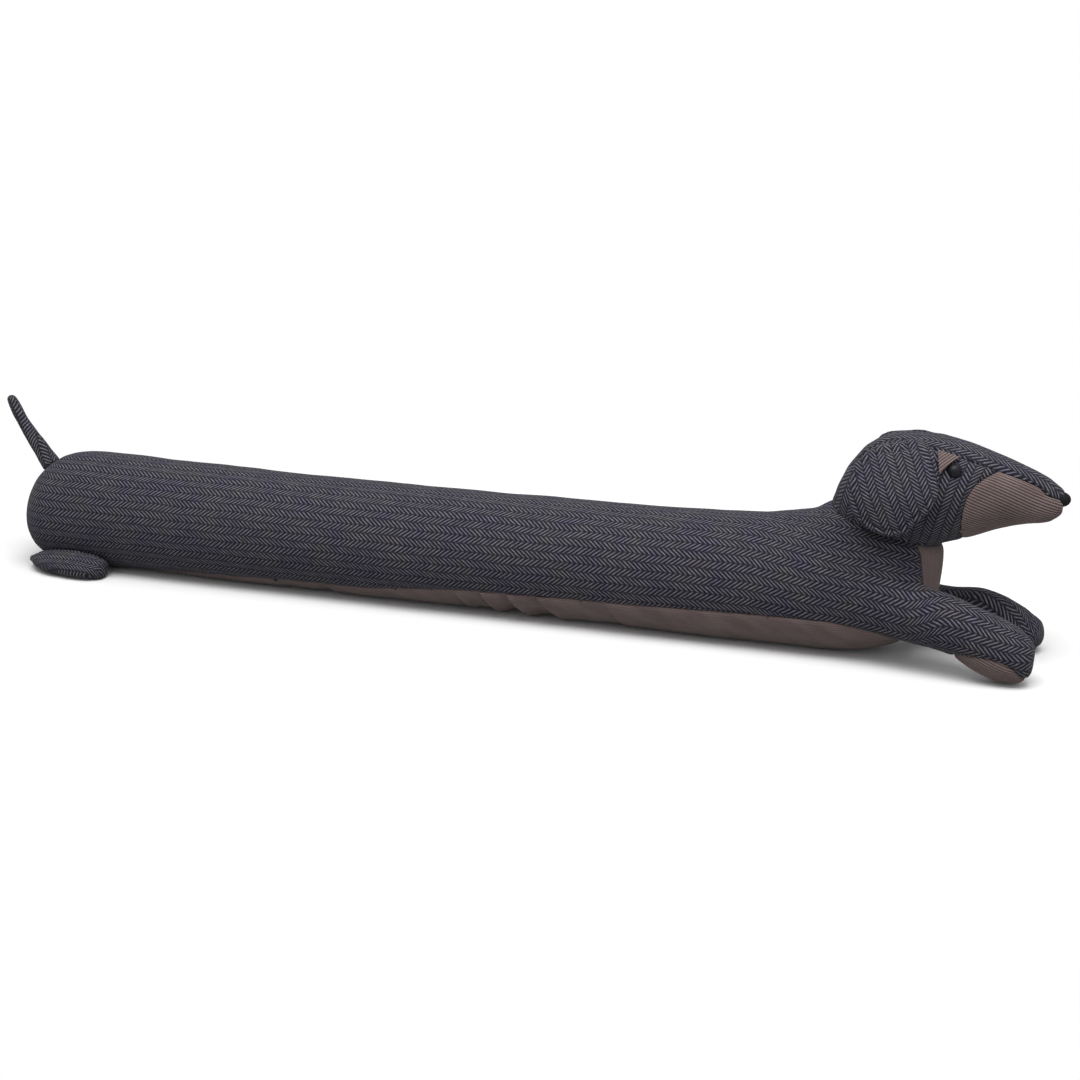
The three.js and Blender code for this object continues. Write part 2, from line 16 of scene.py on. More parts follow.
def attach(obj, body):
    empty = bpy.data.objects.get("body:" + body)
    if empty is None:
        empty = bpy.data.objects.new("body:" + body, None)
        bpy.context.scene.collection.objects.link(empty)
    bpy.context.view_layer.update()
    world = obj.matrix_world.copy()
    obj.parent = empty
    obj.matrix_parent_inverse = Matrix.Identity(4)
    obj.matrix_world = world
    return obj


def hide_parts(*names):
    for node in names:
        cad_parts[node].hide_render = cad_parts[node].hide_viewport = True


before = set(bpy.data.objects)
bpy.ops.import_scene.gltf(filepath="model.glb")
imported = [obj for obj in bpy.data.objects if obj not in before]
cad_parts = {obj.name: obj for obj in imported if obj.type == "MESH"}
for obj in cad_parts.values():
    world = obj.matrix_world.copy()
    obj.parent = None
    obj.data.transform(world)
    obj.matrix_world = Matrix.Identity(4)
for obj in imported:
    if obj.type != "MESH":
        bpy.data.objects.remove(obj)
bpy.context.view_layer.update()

scene = bpy.context.scene

MM = 0.001
MERGE = 1e-6
SIDES = {"right": -1, "left": 1}
# Without a seed the threads would stray in another way each run.
SEED = 1
noise.seed_set(SEED)

# The camera stands where the photograph was taken from.
CAMERA = {"azimuth": 20.28, "elevation": 15.93, "distance": 1670, "target": (49.2, 0, 66.1)}
LENS = {"focal": 63.33, "sensor": 36}
# The room's light is bright on one side and dim on the other.
ROOM = {"dim": 0.06, "bright": 0.85, "side": (0.26, -0.40, 0.88), "from": -0.4}
LAMPS = {
    "key": {"place": (0.3, -0.8, 2.1), "size": (1.9, 1.2), "watts": 44},
    "rim": {"place": (0.4, 1.6, 1.7), "size": (1.8, 1.0), "watts": 4},
}
LAMP_TARGET = (0, 0, 0.08)
# The paper on the floor, in metres: how far out it is still paper, and where it has run out into white.
# Along the dog it reaches twice as far. The piece itself is lit by a greyer paper.
PAPER = {"size": 20, "edge": 0.3, "white": 0.62, "stretch": 2, "pale": 0.9, "grey": 0.42}

# Panels that are sewn edge to edge into one skin, and the cloth each is cut from.
PANELS = {
    "body": "tweed",
    "belly_gusset": "corduroy",
    "sole_right": "corduroy",
    "sole_left": "corduroy",
    "head_top": "tweed",
    "head_side_right": "tweed",
    "head_side_left": "tweed",
    "muzzle_right": "corduroy",
    "muzzle_left": "corduroy",
    "chin": "corduroy",
}
# Panels whose ribs are large enough in view to be shaped in the mesh.
RIBBED = ("sole_right", "sole_left", "muzzle_right", "muzzle_left", "chin")
# The skin over the panels: size of its faces, rounds of smoothing, and how far off it looks for a solid.
SKIN = {"voxel": 2.3, "passes": 8, "even": 6, "reach": 14}
# Places where the photograph shows a fuller form than the solids.
FULLER = (
    {"at": (418, 0, 114), "by": (0.5, 0, -3.2), "size": 24},
    {"at": (452, 0, 123), "by": (0, 0, -1.5), "size": 15},
    {"at": (476, 0, 128), "by": (1.8, 0, -1.2), "size": 14},
    {"at": (396, 0, 84), "by": (2.2, 0, 0), "size": 26},
    {"at": (428, 44, 47), "by": (0, 0, 3.2), "size": 26},
    {"at": (482, 44, 12), "by": (2.0, 0, -1.0), "size": 14},
    {"at": (478, -44, 8), "by": (2.4, 0, -1.2), "size": 14},
    {"at": (484, -46, 14), "by": (0.3, 0, -3.2), "size": 13},
)
# Seams: the rolled edge, the strip of fine faces beside it, its gathers, and the rounds that even out
# and mend the line.
SEAM = {"depth": 1.9, "width": 6.5, "fine": 4.5, "gather": 0.35, "wave": 9,
        "snap": 0.12, "even": 12, "relax": 4, "clean": 3, "fold": 0.4, "mend": 4}
# The seam under the jaw is pressed nearly flat: the panels beside it, their heights, and what is left.
JAW = {"panels": ("chin", "muzzle_right", "muzzle_left"), "low": 129, "high": 137, "share": 0.25}
CLOTH_THICKNESS = 1.4
# The piece lies flat where it meets the floor, in metres above it.
REST = 0.0001
# The filling's push on the cloth, how long it lasts, the furthest that it may move the cloth, how wide
# the seams hold it, and the cloth's own weight and stiffness.
FILLING = {"pressure": 8.0, "frames": 7, "quality": 3, "cap": 1.6, "pin": 5,
           "mass": 0.25, "stiffness": 30, "bending": 1.5}
# Unevenness of the filling under the cloth.
LUMPS = ({"size": 60, "height": 0.8}, {"size": 19, "height": 0.25})
# Folds that the belly seam pulls into the strip below it, from the seam down, in side view.
CREASES = (
    {"top": (-146, 14), "low": (-138, 3), "depth": 1.6, "width": 4.5},
    {"top": (-15, 24), "low": (-6, 3), "depth": 2.4, "width": 5.5},
    {"top": (9, 27), "low": (18.6, 3), "depth": 3.7, "width": 6.0},
    {"top": (34, 28), "low": (46.5, 3), "depth": 4.4, "width": 7.0},
    {"top": (61, 29), "low": (80, 3), "depth": 4.2, "width": 8.0},
    {"top": (126, 28), "low": (137, 3), "depth": 1.6, "width": 6.0},
)
# A fold starts a little above its top and goes on past its low end, and its front edge is a step.
# It reaches this many widths to each side.
PLEAT = {"start": -0.3, "full": 0.3, "end": 1.4, "step": 1.2, "rise": 0.45, "reach": 2.5}
# The folds on the far side lie further along.
CREASE_SHIFT = 21
# How far from the middle of the underside the folds begin, and are at full depth.
CREASE_FADE = (4, 18)

# The weave: width of one band of the herringbone, pitch of its stripes along the band, slope of a
# stripe across it, and the pitch and height of the corduroy's ribs.
BAND = 7.0
STRIPE = 4.35
SLOPE = 1.25
RIB = 2.35
RIB_HEIGHT = 0.4
# How often the faces of a ribbed panel are halved.
RIB_DIVISIONS = 2
# The small pieces are cut from a closer stretch of the cloth.
CLOSE = 1.22
# How far the threads stray from their straight lines.
WANDER = {"length": 34, "reach": 0.9}
# Fineness of the uneven places in the finishes: how many there are to a metre.
GRAIN = {"stray": 260.0, "fleck": 900.0, "slub": 170.0, "patch": 38.0, "pile": 1400.0, "wear": 45.0,
         "black": 1800.0}
# Thickness of a thread, how far a stripe's ends stray, and the dark line between two bands.
THREAD = {"pitch": 1.1, "stray": 1.1, "dark": 0.1, "full": 1.3}
# Tone of corduroy that is worn quite smooth, from its grooves to the tops of its ribs, where the painted
# shade in the grooves is mostly flattened away.
WORN_TONE = 0.62
# Strength and depth of each finish's relief.
RELIEF = {"tweed": (0.55, 0.35), "corduroy": (0.6, 0.5), "black": (0.2, 0.1)}
# Colours of the finishes, each from one shade to another.
TWEED_DARK = ((0.0113, 0.0099, 0.0176, 1), (0.0150, 0.0136, 0.0172, 1))
TWEED_LIGHT = ((0.146, 0.144, 0.190, 1), (0.164, 0.161, 0.182, 1))
TWEED_FLECK = (0.29, 0.285, 0.32, 1)
CORDUROY_TOP = ((0.158, 0.118, 0.114, 1), (0.212, 0.163, 0.156, 1))
# The grooves' colour: partly the base weave, partly painted shade between the ribs.
CORDUROY_GROOVE_AND_SHADE = (0.068, 0.048, 0.048, 1)
BLACK = ((0.006, 0.006, 0.008, 1), (0.014, 0.013, 0.016, 1))

# Round forms that the cloth is laid out on.
BODY_FORM = {"middle": 52, "radius": 52.5, "rear": -473, "dome": 55}
HEAD_MIDDLE = 141
# How far the weave of the head's side panels is turned, in degrees.
CHEEK_TURN = 12
MUZZLE_TURN = -25
# Middle lines of the forelegs, from the shoulder to the toes.
LEG_LINES = {
    "right": ((250, 28, 62), (318, 28, 54), (345, 31.5, 52.5), (370, 36, 48.7), (403, 41, 45.5),
              (424, 43, 40), (442, 44, 32), (460, 44, 24), (485, 44, 16)),
    "left": ((250, 28, 59), (318, 28, 51), (345, 31.5, 46), (370, 36, 35.5), (403, 41, 27),
             (424, 43, 25), (442, 44, 21), (460, 44, 15), (485, 44, 11)),
}
# Where the leg's own layout of the cloth begins and takes over, along it and out from it.
LEG = {"root": 250, "start": 378, "full": 414, "radius": 21, "drop": -1.5, "turn": 12,
       "near": 1.25, "far": 1.9, "low": 85, "high": 160, "steps": 8}
# The tail's middle line, from its root to its tip.
TAIL_LINE = ((-452, 92), (-492.3, 154))

# Small pieces: the size of their faces, how often they are smoothed, their ripples' length and height,
# and their own forms.
EAR = {"voxel": 0.9, "passes": 4, "x": 364.7, "z": 151, "slices": 72,
       "held": 180, "loose": 130, "front": 395, "rear": 345, "lift": 6,
       "least": 0.65, "close": (1.31, 1.06), "turn": -20, "ripple": (12, 0.35)}
EAR_WELT = {"ridge": 2.3, "ridge_width": 1.5, "ridge_height": 1.2, "groove": 5.4, "groove_width": 0.9,
            "groove_depth": 1.1}
EYELID = {"voxel": 0.5, "passes": 3, "turn": 49, "lift": 1.2, "out": 0.83, "up": 0.56}
PAW = {"voxel": 1.3, "passes": 5, "seam": 9.0, "groove": 0.9, "width": 1.5, "heel": -395,
       "stretch": 0.045, "ripple": (9, 0.4)}
TAIL = {"voxel": 1.1, "passes": 4, "knob": 65, "length": 8, "swell": 1.0, "ripple": (11, 0.6)}
EYE = {"x": 408.3, "y": 31.4, "z": 166.4, "radius": 6.1, "out": (0.15, 0.82, 0.55), "segments": 40}
NOSE = {"x": 488.7, "z": 143, "length": 7.5, "half": 6.5, "high": 6.0, "back": 486.8, "segments": 40}


# Meshes

def solids(*names):
    """Copies of CAD solids in one bmesh, with their loose triangles merged."""
    form = bmesh.new()
    for name in names:
        form.from_mesh(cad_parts[name].data)
    bmesh.ops.remove_doubles(form, verts=form.verts[:], dist=MERGE)
    return form


def object_of(name, form):
    mesh = bpy.data.meshes.new(name)
    form.to_mesh(mesh)
    form.free()
    piece = bpy.data.objects.new(name, mesh)
    scene.collection.objects.link(piece)
    return piece


def bake(piece):
    """Puts the piece's modifiers into its mesh."""
    bpy.context.view_layer.update()
    graph = bpy.context.evaluated_depsgraph_get()
    flat = piece.data
    piece.data = bpy.data.meshes.new_from_object(piece.evaluated_get(graph))
    piece.modifiers.clear()
    bpy.data.meshes.remove(flat)


def smooth(form, verts, passes):
    for _ in range(passes):
        bmesh.ops.smooth_vert(form, verts=verts, factor=0.5,
                              use_axis_x=True, use_axis_y=True, use_axis_z=True)


def remeshed(form, voxel, passes):
    """The form in even faces, with the facets of the solid smoothed away."""
    piece = object_of("form", form)
    remesh = piece.modifiers.new("Remesh", "REMESH")
    remesh.mode = "VOXEL"
    remesh.voxel_size = voxel * MM
    bake(piece)
    even = bmesh.new()
    even.from_mesh(piece.data)
    mesh = piece.data
    bpy.data.objects.remove(piece)
    bpy.data.meshes.remove(mesh)
    smooth(even, even.verts[:], passes)
    even.normal_update()
    return even


def rippled(point, ripple):
    """A soft random rise in millimetres."""
    length, height = ripple
    return noise.noise(point / (length * MM)) * height


def bell(value, width):
    return math.exp(-((value / width) ** 2))


def smoothstep(low, high, value):
    share = min(max((value - low) / (high - low), 0), 1)
    return share * share * (3 - 2 * share)


# The skin and its seams

def refill(skin, trees):
    """Gives back the fullness that smoothing took, without the facets of the solids."""
    gaps = []
    for vert in skin.verts:
        found = [tree.find_nearest(vert.co, SKIN["reach"] * MM) for tree in trees.values()]
        place, _, _, _ = min((hit for hit in found if hit[0]), key=lambda hit: hit[3])
        gaps.append((place - vert.co).dot(vert.normal))
    skin.verts.index_update()
    around = [[edge.other_vert(vert).index for edge in vert.link_edges] for vert in skin.verts]
    for _ in range(SKIN["even"]):
        gaps = [(gap + sum(gaps[other] for other in others)) / (1 + len(others))
                for gap, others in zip(gaps, around)]
    for vert, gap in zip(skin.verts, gaps):
        vert.co += vert.normal * gap
    skin.normal_update()


def push(skin):
    """Fills out the skin in a few places."""
    for place in FULLER:
        centre = Vector(place["at"]) * MM
        move = Vector(place["by"]) * MM
        for vert in skin.verts:
            vert.co += move * bell((vert.co - centre).length, place["size"] * MM)
    skin.normal_update()


def lump(skin):
    """Lets the filling show through as a soft unevenness."""
    for vert in skin.verts:
        rise = sum(noise.noise(vert.co / (lumps["size"] * MM)) * lumps["height"] for lumps in LUMPS)
        vert.co += vert.normal * rise * MM
    skin.normal_update()


def along_fold(point, fold):
    """Where a point lies along a fold, and how far in front of it, in side view."""
    shift = 0 if point.y < 0 else CREASE_SHIFT
    place = Vector((point.x / MM - shift, point.z / MM))
    top = Vector(fold["top"])
    line = Vector(fold["low"]) - top
    along = (place - top).dot(line) / line.length_squared
    ahead = (place - top).dot(Vector((-line.y, line.x)).normalized())
    return along, ahead


def pleated(point):
    """Whether one of the belly strip's folds reaches the point."""
    for fold in CREASES:
        along, ahead = along_fold(point, fold)
        if PLEAT["start"] < along < PLEAT["end"] and abs(ahead) < PLEAT["reach"] * fold["width"]:
            return True
    return False


def crease(form):
    """Pleats the belly strip: it sinks towards a line, and rises sharply in front of it."""
    for vert in form.verts:
        fade = smoothstep(*CREASE_FADE, abs(vert.co.y) / MM)
        rise = 0
        for fold in CREASES:
            along, ahead = along_fold(vert.co, fold)
            if PLEAT["start"] < along < PLEAT["end"]:
                strength = fold["depth"] * smoothstep(PLEAT["start"], PLEAT["full"], along) * fade
                step = smoothstep(-PLEAT["step"], PLEAT["step"], ahead)
                rise += strength * (PLEAT["rise"] * step - 1 + step) * bell(ahead, fold["width"])
        vert.co += vert.normal * rise * MM
    form.normal_update()


def ease_seams(skin):
    """Draws the seams out into even curves."""
    panel = skin.faces.layers.int["panel"]
    neighbours = {}
    for edge in skin.edges:
        if len({face[panel] for face in edge.link_faces}) == 2:
            for vert in edge.verts:
                neighbours.setdefault(vert, []).append(edge.other_vert(vert))
    free = [vert for vert in neighbours if len({face[panel] for face in vert.link_faces}) == 2]
    for _ in range(SEAM["even"]):
        moved = {}
        for vert in free:
            others = neighbours[vert]
            moved[vert] = vert.co.lerp(sum((other.co for other in others), Vector()) / len(others), 0.5)
        for vert, place in moved.items():
            vert.co = place
    beside = {other for vert in neighbours for edge in vert.link_edges for other in edge.verts}
    beside = [vert for vert in skin.verts if vert in beside and vert not in neighbours]
    smooth(skin, beside, SEAM["relax"])
    touching = [face for face in skin.faces if any(vert in neighbours for vert in face.verts)]
    bmesh.ops.triangulate(skin, faces=touching)
    skin.normal_update()


def folded(face):
    around = [other.normal for edge in face.edges for other in edge.link_faces if other != face]
    mean = sum(around, Vector())
    return face.normal.dot(mean) < SEAM["fold"] * mean.length


def mend_folds(skin):
    """Closes up the slivers beside the seams that have folded over."""
    for _ in range(SEAM["mend"]):
        shortest = {min(face.edges, key=lambda edge: edge.calc_length())
                    for face in skin.faces if folded(face)}
        bmesh.ops.collapse(skin, edges=[edge for edge in skin.edges if edge in shortest])
        skin.normal_update()


def cut_along_seams(skin, trees):
    """Splits the skin's faces where the nearest solid changes, and marks each face with its panel."""
    names = list(trees)
    far = SKIN["reach"] * MM

    def distances(point):
        found = [trees[name].find_nearest(point, far)[3] for name in names]
        return [far if gap is None else gap for gap in found]

    near = {vert: distances(vert.co) for vert in skin.verts}
    for index in range(len(names)):
        lead = {}
        for vert, gaps in near.items():
            rival = min(gap for other, gap in enumerate(gaps) if other != index)
            lead[vert] = gaps[index] - rival
        crossing = [edge for edge in skin.edges if lead[edge.verts[0]] * lead[edge.verts[1]] < 0]
        on_seam = []
        for edge in crossing:
            start, end = edge.verts
            share = lead[start] / (lead[start] - lead[end])
            if min(share, 1 - share) < SEAM["snap"]:
                on_seam.append(start if share < 0.5 else end)
                continue
            gaps = [a + (b - a) * share for a, b in zip(near[start], near[end])]
            _, vert = bmesh.utils.edge_split(edge, start, share)
            near[vert] = gaps
            on_seam.append(vert)
        bmesh.ops.connect_verts(skin, verts=list(dict.fromkeys(on_seam)))
    panel = skin.faces.layers.int.new("panel")
    for face in skin.faces:
        sums = [sum(near[vert][index] for vert in face.verts) for index in range(len(names))]
        face[panel] = sums.index(min(sums))
    for _ in range(SEAM["clean"]):
        for face in skin.faces:
            around = [other[panel] for edge in face.edges for other in edge.link_faces if other != face]
            common = max(sorted(set(around)), key=around.count)
            if around.count(common) > len(around) / 2:
                face[panel] = common


def panel_of(skin, index):
    """A copy of one panel of the skin."""
    form = skin.copy()
    layer = form.faces.layers.int["panel"]
    others = [face for face in form.faces if face[layer] != index]
    bmesh.ops.delete(form, geom=others, context="FACES")
    return form


def seam_distance(form):
    """A lookup of how far a point is from the panel's own edge."""
    edge = [vert.co.copy() for vert in form.verts if vert.is_boundary]
    tree = KDTree(len(edge))
    for index, point in enumerate(edge):
        tree.insert(point, index)
    tree.balance()
    return lambda point: tree.find(point)[2]


def refine(name, form):
    """Halves the faces beside the seams, so that the rolled edge is round, and in the belly's pleats."""
    distance = seam_distance(form)
    creased = name == "belly_gusset"
    fine = {vert for vert in form.verts
            if distance(vert.co) < SEAM["fine"] * MM or creased and pleated(vert.co)}
    edges = [edge for edge in form.edges if fine.issuperset(edge.verts)]
    bmesh.ops.subdivide_edges(form, edges=edges, cuts=1, use_grid_fill=True)


def turn_in(name, form):
    """Rolls the panel's edge down into its seam, which draws the cloth up unevenly."""
    out = form.verts.layers.float_vector["out"]
    pressed = 1 - JAW["share"] if name in JAW["panels"] else 0
    distance = seam_distance(form)
    width = SEAM["width"] * MM
    for vert in form.verts:
        gap = distance(vert.co)
        if gap < width:
            share = 1 - gap / width
            roll = 1 - math.sqrt(1 - share * share)
            ripple = noise.noise(vert.co / (SEAM["wave"] * MM)) * share
            flat = pressed * (1 - smoothstep(JAW["low"], JAW["high"], vert.co.z / MM))
            depth = SEAM["depth"] * roll * (1 - flat) + SEAM["gather"] * ripple
            vert.co -= vert[out] * depth * MM


def lay_cloth(form, place):
    """Gives each corner of the cloth its place on the flat piece, along and across its weave."""
    layer = form.loops.layers.uv.new("weave")
    for face in form.faces:
        centre = face.calc_center_median() / MM
        for loop in face.loops:
            point = loop.vert.co / MM
            stray = noise.noise_vector(point / WANDER["length"]) * WANDER["reach"]
            along, across = place(point, centre)
            loop[layer].uv = ((along + stray.x) * MM, (across + stray.y) * MM)


def raise_ribs(form):
    """Sinks the grooves between the corduroy's ribs into the mesh."""
    layer = form.loops.layers.uv["weave"]
    form.normal_update()
    for vert in form.verts:
        across = vert.link_loops[0][layer].uv.y / MM
        sunk = RIB_HEIGHT * (0.5 - 0.5 * math.cos(2 * math.pi * across / RIB))
        vert.co -= vert.normal * sunk * MM


# Where the cloth lies, in millimetres along and across the weave

class LegLine:
    """The middle line of a foreleg as a smooth curve, with the length along it."""

    def __init__(self, points, side):
        points = [Vector((x, side * y, z)) for x, y, z in points]
        rows = [points[0], *points, points[-1]]
        self.points = []
        for a, b, c, d in zip(rows, rows[1:], rows[2:], rows[3:]):
            for step in range(LEG["steps"]):
                t = step / LEG["steps"]
                bend = (2 * a - 5 * b + 4 * c - d) * t * t + (3 * b - a - 3 * c + d) * t * t * t
                self.points.append((2 * b + (c - a) * t + bend) / 2)
        self.points.append(points[-1])
        self.tree = KDTree(len(self.points))
        self.lengths = [points[0].x]
        for index, point in enumerate(self.points):
            self.tree.insert(point, index)
            if index:
                self.lengths.append(self.lengths[-1] + (point - self.points[index - 1]).length)
        self.tree.balance()
        self.side = side

    def height(self, x):
        """How high the line is at x."""
        x = min(max(x, self.points[0].x), self.points[-1].x)
        ahead = next(index for index, point in enumerate(self.points) if index and point.x >= x)
        low, high = self.points[ahead - 1], self.points[ahead]
        return low.z + (high.z - low.z) * (x - low.x) / (high.x - low.x)

    def place(self, point):
        """Along the leg, round it from its outer side down, and how far out the point is."""
        _, index, _ = self.tree.find(point)
        last = len(self.points) - 1
        ahead = (self.points[min(index + 1, last)] - self.points[max(index - 1, 0)]).normalized()
        offset = point - self.points[index]
        along = offset.dot(ahead)
        offset -= ahead * along
        up = offset.dot(Vector((-ahead.z, 0, ahead.x)).normalized())
        turn = math.atan2(self.side * offset.y, up)
        return self.lengths[index] + along, offset.length * (turn - math.pi / 2), offset.length


LEGS = {side: LegLine(LEG_LINES[name], side) for name, side in SIDES.items()}


def side_of(centre):
    return -1 if centre.y < 0 else 1


def body_cloth(point, centre):
    side = side_of(centre)
    start = BODY_FORM["rear"] + BODY_FORM["dome"]
    bent = min(max((start - point.x) / BODY_FORM["dome"], 0), 1)
    along = max(point.x, start) - BODY_FORM["dome"] * math.asin(bent)
    leg = LEGS[side]
    fall = leg.height(LEG["root"]) - leg.height(point.x)
    up = point.z + fall * (1 - smoothstep(LEG["low"], LEG["high"], point.z)) - BODY_FORM["middle"]
    turn = math.atan2(side * point.y, up)
    across = math.hypot(point.y, up) * (turn - math.pi / 2)
    if point.x > LEG["start"]:
        leg_along, leg_across, reach = leg.place(point)
        leg_along, leg_across = turned(leg_along - LEG["start"], leg_across + LEG["drop"], LEG["turn"])
        share = smoothstep(LEG["start"], LEG["full"], point.x)
        share *= 1 - smoothstep(LEG["near"], LEG["far"], reach / LEG["radius"])
        along += (leg_along + LEG["start"] - along) * share
        across += (leg_across - across) * share
    return along, side * (across + BODY_FORM["radius"] * math.pi / 2)


def gusset_cloth(point, centre):
    radius = BODY_FORM["radius"]
    across = radius * math.asin(min(max(point.y / radius, -1), 1))
    return point.x + point.z, across


def sole_cloth(point, centre):
    along, across, _ = LEGS[side_of(centre)].place(point)
    return along, across


def round_head(point, centre):
    """Along the head, and round it from the line along its side, downwards."""
    up = point.z - HEAD_MIDDLE
    turn = math.atan2(side_of(centre) * point.y, up)
    return point.x, math.hypot(point.y, up) * (turn - math.pi / 2)


def turned(along, across, degrees):
    turn = math.radians(degrees)
    return (
        along * math.cos(turn) - across * math.sin(turn),
        along * math.sin(turn) + across * math.cos(turn),
    )


def head_top_cloth(point, centre):
    up = point.z - HEAD_MIDDLE
    return point.x, math.hypot(point.y, up) * math.atan2(point.y, up)


def head_side_cloth(point, centre):
    along, down = round_head(point, centre)
    return turned(down * CLOSE, along, CHEEK_TURN)


def muzzle_cloth(point, centre):
    along, down = round_head(point, centre)
    return turned(along, down, MUZZLE_TURN)


def ear_cloth(point, centre):
    along, down = round_head(point, centre)
    lengthwise, widthwise = EAR["close"]
    return turned(down * lengthwise, (along - EAR["x"]) * widthwise, EAR["turn"])


def eyelid_cloth(point, centre):
    along, down = round_head(point, centre)
    return turned(along, down, EYELID["turn"])


def paw_cloth(point, centre):
    return point.x * CLOSE, side_of(centre) * point.y - point.z


def tail_cloth(point, centre):
    base, tip = (Vector((x, 0, z)) for x, z in TAIL_LINE)
    ahead = (tip - base).normalized()
    offset = point - base
    along = offset.dot(ahead)
    offset -= ahead * along
    up = offset.dot(Vector((-ahead.z, 0, ahead.x)))
    return along * CLOSE, offset.length * math.atan2(offset.y, up)


LAYS = {
    "body": body_cloth,
    "belly_gusset": gusset_cloth,
    "sole": sole_cloth,
    "head_top": head_top_cloth,
    "head_side": head_side_cloth,
    "muzzle": muzzle_cloth,
    "chin": muzzle_cloth,
    "ear": ear_cloth,
    "eyelid": eyelid_cloth,
    "hind_paw": paw_cloth,
    "tail": tail_cloth,
}


def lay_of(name):
    return LAYS[name.removesuffix("_right").removesuffix("_left")]


# Finishes

class Socket:
    """A node's output, with the arithmetic that materials use on it."""

    def __init__(self, finish, socket):
        self.finish = finish
        self.socket = socket

    def math(self, operation, *others):
        return self.finish.node("Math", {"operation": operation}, [self, *others])

    def __add__(self, other):
        return self.math("ADD", other)

    def __sub__(self, other):
        return self.math("SUBTRACT", other)

    def __rsub__(self, other):
        return (self * -1.0).math("ADD", other)

    def __mul__(self, other):
        return self.math("MULTIPLY", other)

    def __truediv__(self, other):
        return self.math("DIVIDE", other)

    __radd__ = __add__
    __rmul__ = __mul__


class Finish:
    """A material whose nodes are added one call at a time."""

    def __init__(self, name):
        self.material = bpy.data.materials.new(name)
        self.material.use_nodes = True
        self.tree = self.material.node_tree
        self.tree.nodes.clear()

    def node(self, kind, settings, inputs, output=0):
        made = self.tree.nodes.new("ShaderNode" + kind)
        for key, value in settings.items():
            setattr(made, key, value)
        places = inputs.items() if isinstance(inputs, dict) else enumerate(inputs)
        for place, value in places:
            if isinstance(value, Socket):
                self.tree.links.new(value.socket, made.inputs[place])
            else:
                made.inputs[place].default_value = value
        return Socket(self, made.outputs[output]) if made.outputs else None

    def mix(self, share, first, second):
        inputs = {0: share, 6: first, 7: second}
        return self.node("Mix", {"data_type": "RGBA"}, inputs, 2)

    def noise(self, vector, scale, detail=2.0):
        inputs = {"Vector": vector, "Scale": scale, "Detail": detail}
        return self.node("TexNoise", {}, inputs)

    def relief(self, name, height):
        strength, depth = RELIEF[name]
        inputs = {"Strength": strength, "Distance": depth * MM, "Height": height}
        return self.node("Bump", {}, inputs)

    def show(self, **inputs):
        surface = self.node("BsdfPrincipled", {}, {k.replace("_", " "): v for k, v in inputs.items()})
        self.node("OutputMaterial", {}, {"Surface": surface})


def ramp(value, low, high):
    """A value that goes smoothly from 0 at low to 1 at high."""
    settings = {"interpolation_type": "SMOOTHSTEP"}
    return value.finish.node("MapRange", settings, {"Value": value, "From Min": low, "From Max": high})


def tweed():
    cloth = Finish("tweed")
    place = cloth.node("UVMap", {"uv_map": "weave"}, {})
    parts = {"Vector": place}
    along = cloth.node("SeparateXYZ", {}, parts, 0)
    across = cloth.node("SeparateXYZ", {}, parts, 1)
    along = along + (cloth.noise(place, GRAIN["stray"], 1.0) - 0.5) * (THREAD["stray"] * MM)
    band = across.math("PINGPONG", BAND * MM)
    edge = band.math("MINIMUM", BAND * MM - band)
    pair = ((across + BAND * MM) / (2 * BAND * MM)).math("FLOOR")
    stripe = (along + band * SLOPE) / (STRIPE * MM) + pair * 0.5
    wave = (stripe * (2 * math.pi)).math("COSINE")
    strand = (along * (2 * math.pi / (THREAD["pitch"] * MM))).math("COSINE")
    fleck = cloth.noise(place, GRAIN["fleck"])
    slub = cloth.noise(place, GRAIN["slub"])
    pale = ramp(wave + (fleck - 0.5) * 1.0 + strand * 0.1, -0.05, 1.05)
    pale = pale * (ramp(edge, THREAD["dark"] * MM, THREAD["full"] * MM) * 0.75 + 0.25)
    pale = pale * (ramp(slub, 0.25, 0.75) * 0.5 + 0.6)
    patch = ramp(cloth.noise(place, GRAIN["patch"], 3.0), 0.35, 0.65)
    dark = cloth.mix(patch, *TWEED_DARK)
    light = cloth.mix(patch, *TWEED_LIGHT)
    light = cloth.mix(ramp(fleck, 0.55, 0.8) * 0.6, light, TWEED_FLECK)
    height = pale * 0.6 + strand * 0.15 + fleck * 0.5
    relief = cloth.relief("tweed", height)
    cloth.show(Base_Color=cloth.mix(pale, dark, light), Roughness=0.92, Normal=relief,
               Specular_IOR_Level=0.15, Sheen_Weight=0.05, Sheen_Roughness=0.5)
    return cloth.material


def corduroy(name, contrast):
    """Ribbed cotton, worn smoother as the contrast goes down. Its grooves are coloured darker, partly for
    the base weave and partly as painted shade between the ribs.
    """
    cloth = Finish(name)
    place = cloth.node("UVMap", {"uv_map": "weave"}, {})
    across = cloth.node("SeparateXYZ", {}, {"Vector": place}, 1)
    rib = ((across * (2 * math.pi / (RIB * MM))).math("COSINE") + 1) * 0.5
    stretch = cloth.node("Mapping", {}, {"Vector": place, "Scale": (0.25, 1, 1)})
    pile = cloth.noise(stretch, GRAIN["pile"])
    wear = cloth.noise(place, GRAIN["wear"], 3.0)
    top = ramp(rib + (pile - 0.5) * 0.5, 0.05, 0.7) * contrast + (1 - contrast) * WORN_TONE
    lit = cloth.mix(ramp(wear, 0.3, 0.7), *CORDUROY_TOP)
    height = rib * contrast + pile * 0.25
    relief = cloth.relief("corduroy", height)
    # The grooves are coloured darker than the rib tops: partly the base weave, partly painted shade.
    cloth.show(Base_Color=cloth.mix(top, CORDUROY_GROOVE_AND_SHADE, lit), Roughness=0.9, Normal=relief,
               Specular_IOR_Level=0.15, Sheen_Weight=0.1, Sheen_Roughness=0.45)
    return cloth.material


